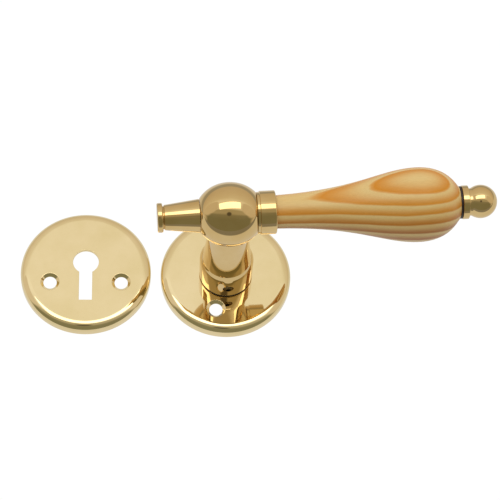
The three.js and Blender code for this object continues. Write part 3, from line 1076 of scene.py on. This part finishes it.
def make_finial(material):
    sizes = settings().lever
    start, end = span("end_finial", 0)
    flange = radius_of("end_finial")
    flange_end = start + sizes.flange_thickness
    centre = end - sizes.finial_ball
    bore_end = centre + BORE_PAST_CENTRE
    opening = math.acos(sizes.finial_neck / sizes.finial_ball)
    finial = turned_on_lever(
        "finial_turning",
        [
            (0, bore_end),
            (sizes.rod_bore, bore_end),
            (sizes.rod_bore, start),
            (flange, start),
            (flange, flange_end),
            (sizes.finial_neck, flange_end),
            *bow((0, centre), sizes.finial_ball, sizes.finial_ball, -opening, math.pi / 2),
        ],
    )
    round_edges(finial, sizes.edge)
    settle(finial, "lever", "end_finial", material)


# Stage.


def camera_axes():
    """Directions to the right, up and towards the camera, in its own view."""
    studio = settings().studio
    elevation, azimuth, roll = studio.elevation, studio.azimuth, studio.roll
    towards = Vector(
        (
            math.sin(azimuth) * math.cos(elevation),
            -math.cos(azimuth) * math.cos(elevation),
            math.sin(elevation),
        )
    )
    level = Vector((math.cos(azimuth), math.sin(azimuth), 0))
    upright = towards.cross(level)
    right = math.cos(roll) * level + math.sin(roll) * upright
    up = math.cos(roll) * upright - math.sin(roll) * level
    return right, up, towards


SENSOR_WIDTH = 36
CLIP_START = 50 * MM


def make_camera():
    studio = settings().studio
    right, up, towards = camera_axes()
    place = studio.aim_right * right + studio.aim_up * up + studio.distance * towards
    select_nothing()
    bpy.ops.object.camera_add()
    camera = bpy.context.object
    turn_matrix = Matrix((right, up, towards)).transposed().to_4x4()
    camera.matrix_world = Matrix.Translation(place) @ turn_matrix
    camera.data.lens = studio.lens
    camera.data.sensor_width = SENSOR_WIDTH
    camera.data.clip_start = CLIP_START
    bpy.context.scene.camera = camera


FLOOR_SIZE = 8
FRONT_FADE = 40 * MM
FRONT_GLOW = 0.3
BACK_FADE = 80 * MM
BACK_SHARE = 0.55
PLAIN_WHITE = 1.02


def make_floor():
    """A white light table: plain white to look at, and softer in what it gives to the metal."""
    studio = settings().studio
    select_nothing()
    bpy.ops.mesh.primitive_plane_add(size=FLOOR_SIZE, location=(0, 0, -studio.floor_gap))
    floor = bpy.context.object
    floor.name = "light_table"
    bpy.ops.object.transform_apply(location=True, rotation=False, scale=False)
    material = bpy.data.materials.new("light_table")
    tree = empty_tree(material)
    output = add_node(tree, "ShaderNodeOutputMaterial")
    glow = add_node(tree, "ShaderNodeEmission")
    place = add_node(tree, "ShaderNodeTexCoord").outputs["Object"]
    along = split(tree, place)[1]
    lit = remap(
        tree,
        along,
        -studio.table_front - FRONT_FADE,
        -studio.table_front,
        FRONT_GLOW,
        studio.table_glow,
        smooth_step=True,
    )
    back = studio.table_back
    far = remap(tree, along, back, back + BACK_FADE, 1.0, BACK_SHARE)
    given = calculate(tree, "MULTIPLY", lit, far)
    seen = add_node(tree, "ShaderNodeLightPath").outputs["Is Camera Ray"]
    strength = calculate(tree, "MAXIMUM", given, calculate(tree, "MULTIPLY", seen, PLAIN_WHITE))
    plug(tree, strength, glow.inputs["Strength"])
    tree.links.new(glow.outputs[0], output.inputs["Surface"])
    floor.data.materials.append(material)


VIEWER_CORE = math.radians(4)
VIEWER_EDGE = math.radians(9)
VIEWER_TONE = (0.13, 0.12, 0.10)
WALL_TONE = (0.75, 0.69, 0.62)
WALL_BLUR = 0.06
OPENING_TONE = (0.25, 0.25, 0.18)
SKY_TONES = (
    (-20, 0.5),
    (-4, OPENING_TONE),
    (42, OPENING_TONE),
    (58, (0.30, 0.29, 0.22)),
    (65, (0.50, 0.47, 0.38)),
    (77, (0.50, 0.47, 0.38)),
    (84, 0.92),
    (112, 1.0),
    (124, (0.81, 0.77, 0.70)),
    (142, (0.76, 0.70, 0.63)),
    (160, (0.71, 0.64, 0.56)),
    (180, (0.66, 0.58, 0.49)),
)
SIDE_LIMITS = ((-20, 0.90), (34, 0.97), (60, 0.86), (85, 0.56), (112, 0.56), (126, 1.0), (180, 1.0))


def sky_ramp(tree, share, stops):
    """A ramp over the height in degrees: 0 is the horizon in front, and 90 is overhead."""
    return ramp(tree, share, [((angle + 180) / 360, tone) for angle, tone in stops])


def make_sky():
    """A pale studio with a dark opening at the front, where the viewer stands."""
    azimuth = settings().studio.azimuth
    towards_viewer = camera_axes()[2]
    world = bpy.data.worlds.new("studio")
    bpy.context.scene.world = world
    tree = empty_tree(world)
    output = add_node(tree, "ShaderNodeOutputWorld")
    background = add_node(tree, "ShaderNodeBackground")
    place = add_node(tree, "ShaderNodeTexCoord").outputs["Generated"]
    forward = (math.sin(azimuth), -math.cos(azimuth), 0)
    sideways = (math.cos(azimuth), math.sin(azimuth), 0)
    front = vector_calculate(tree, "DOT_PRODUCT", place, forward).outputs["Value"]
    height = calculate(tree, "ARCTAN2", split(tree, place)[2], front)
    share = calculate(tree, "MULTIPLY_ADD", height, 1 / math.tau, 0.5)
    sky = sky_ramp(tree, share, SKY_TONES)
    limit = sky_ramp(tree, share, SIDE_LIMITS)
    across = vector_calculate(tree, "DOT_PRODUCT", place, sideways).outputs["Value"]
    aside = calculate(tree, "SUBTRACT", calculate(tree, "ABSOLUTE", across), limit)
    side = remap(tree, aside, -WALL_BLUR, WALL_BLUR, smooth_step=True)
    walls = blend_colours(tree, side, sky, opaque(WALL_TONE))
    towards = vector_calculate(tree, "DOT_PRODUCT", place, tuple(towards_viewer)).outputs["Value"]
    shadow = remap(tree, towards, math.cos(VIEWER_EDGE), math.cos(VIEWER_CORE), smooth_step=True)
    room = blend_colours(tree, shadow, walls, opaque(VIEWER_TONE))
    seen = add_node(tree, "ShaderNodeLightPath").outputs["Is Camera Ray"]
    shown = blend_colours(tree, seen, room, opaque((PLAIN_WHITE,) * 3))
    plug(tree, shown, background.inputs["Color"])
    tree.links.new(background.outputs[0], output.inputs["Surface"])


SOFTBOX_HEIGHT = 650 * MM
SOFTBOX_FRONT = 83
SOFTBOX_BACK = 107
SOFTBOX_WIDTH = 720 * MM
SOFTBOX_COLOUR = (1.0, 0.96, 0.90)


def make_softbox():
    """One wide soft light overhead, a little behind the lever."""
    studio = settings().studio
    rise = SOFTBOX_HEIGHT - lever_height()
    front = -rise / math.tan(math.radians(SOFTBOX_FRONT))
    back = -rise / math.tan(math.radians(SOFTBOX_BACK))
    select_nothing()
    bpy.ops.object.light_add(type="AREA", location=(0, (front + back) / 2, SOFTBOX_HEIGHT))
    light = bpy.context.object
    light.name = "softbox"
    light.data.shape = "RECTANGLE"
    light.data.size = SOFTBOX_WIDTH
    light.data.size_y = back - front
    light.data.energy = studio.softbox_power
    light.data.color = SOFTBOX_COLOUR
    light.visible_camera = False


def material_named(name):
    return bpy.data.materials[name]


# Operators.


class LEVERSET_OT_materials(bpy.types.Operator):
    """Makes the shared node groups and the materials"""

    bl_idname = "leverset.materials"
    bl_label = "Materials"

    def execute(self, context):
        finish = settings().finishes
        for make_group in (fine_scuffs, turning_marks, moulded_grain, pine_growth):
            make_group()
        pressed_brass()
        turned_brass("brass_turned_on_lever", 0)
        turned_brass("brass_turned_on_neck", 2)
        lacquered_pine()
        plain_finish("washer_nylon", finish.dark_nylon, 0.6, 0.42, 0.6, 1.0, 0.0)
        plain_finish("bush_nylon", finish.pale_nylon, 0.88, 0.4, 0.55, 1.0, 0.0)
        plain_finish("plated_steel", finish.steel, 0.75, 0.22, 0.38, 0.7, 1.0)
        return {"FINISHED"}


class LEVERSET_OT_plates(bpy.types.Operator):
    """Makes the rose and the keyhole plate"""

    bl_idname = "leverset.plates"
    bl_label = "Plates"

    def execute(self, context):
        brass = material_named("pressed_brass")
        make_rose(brass)
        make_keyhole_plate(brass)
        return {"FINISHED"}


class LEVERSET_OT_neck(bpy.types.Operator):
    """Makes the neck and the friction washer under its foot"""

    bl_idname = "leverset.neck"
    bl_label = "Neck"

    def execute(self, context):
        make_neck(material_named("brass_turned_on_neck"))
        make_friction_washer(material_named("washer_nylon"))
        return {"FINISHED"}


class LEVERSET_OT_ball_and_tail(bpy.types.Operator):
    """Makes the ball and the tail behind it"""

    bl_idname = "leverset.ball_and_tail"
    bl_label = "Ball and Tail"

    def execute(self, context):
        brass = material_named("brass_turned_on_lever")
        make_ball(brass)
        make_tail(brass)
        return {"FINISHED"}


class LEVERSET_OT_grip(bpy.types.Operator):
    """Makes the ferrule, the pine grip, its end washer and the finial"""

    bl_idname = "leverset.grip"
    bl_label = "Grip"

    def execute(self, context):
        brass = material_named("brass_turned_on_lever")
        make_ferrule(brass)
        make_grip(material_named("pine_under_lacquer"))
        make_end_washer(material_named("washer_nylon"))
        make_finial(brass)
        return {"FINISHED"}


INNER_FINISHES = {
    "guide_bush": "bush_nylon",
    "tie_rod": "plated_steel",
    "grub_screw": "plated_steel",
    "circlip": "plated_steel",
    "wave_washer": "plated_steel",
}


class LEVERSET_OT_inner_pieces(bpy.types.Operator):
    """Gives the inner pieces, which keep their design shape, their materials"""

    bl_idname = "leverset.inner_pieces"
    bl_label = "Inner Pieces"

    def execute(self, context):
        for name, finish in INNER_FINISHES.items():
            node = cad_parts[name]
            if not node.material_slots:
                node.data.materials.append(None)
            for slot in node.material_slots:
                slot.material = material_named(finish)
        return {"FINISHED"}


class LEVERSET_OT_stage(bpy.types.Operator):
    """Makes the light table, the studio light and the camera"""

    bl_idname = "leverset.stage"
    bl_label = "Stage"

    def execute(self, context):
        make_camera()
        make_floor()
        make_sky()
        make_softbox()
        context.scene.view_settings.view_transform = "Standard"
        return {"FINISHED"}


OPERATORS = (
    LEVERSET_OT_materials,
    LEVERSET_OT_plates,
    LEVERSET_OT_neck,
    LEVERSET_OT_ball_and_tail,
    LEVERSET_OT_grip,
    LEVERSET_OT_inner_pieces,
    LEVERSET_OT_stage,
)


class LEVERSET_PT_panel(bpy.types.Panel):
    """Lists the steps that make the lever set"""

    bl_label = "Door Lever Set"
    bl_idname = "LEVERSET_PT_panel"
    bl_space_type = "VIEW_3D"
    bl_region_type = "UI"
    bl_category = "Door Lever"

    def draw(self, context):
        for operator in OPERATORS:
            self.layout.operator(operator.bl_idname)
        for group in ("plates", "neck", "lever", "finishes", "studio"):
            box = self.layout.box()
            box.label(text=group.capitalize())
            sizes = getattr(settings(), group)
            for name in sizes.__annotations__:
                box.prop(sizes, name)


CLASSES = (
    PlateSizes,
    NeckSizes,
    LeverSizes,
    Finishes,
    StudioSettings,
    LeverSetSettings,
    *OPERATORS,
    LEVERSET_PT_panel,
)


def register():
    for kind in CLASSES:
        bpy.utils.register_class(kind)
    bpy.types.Scene.lever_set = bpy.props.PointerProperty(type=LeverSetSettings)


def unregister():
    del bpy.types.Scene.lever_set
    for kind in reversed(CLASSES):
        bpy.utils.unregister_class(kind)


def corners(box):
    return [list(corner) for corner in box]


def main():
    register()
    for operator in OPERATORS:
        group, name = operator.bl_idname.split(".")
        getattr(getattr(bpy.ops, group), name)()


if __name__ == "__main__":
    main()
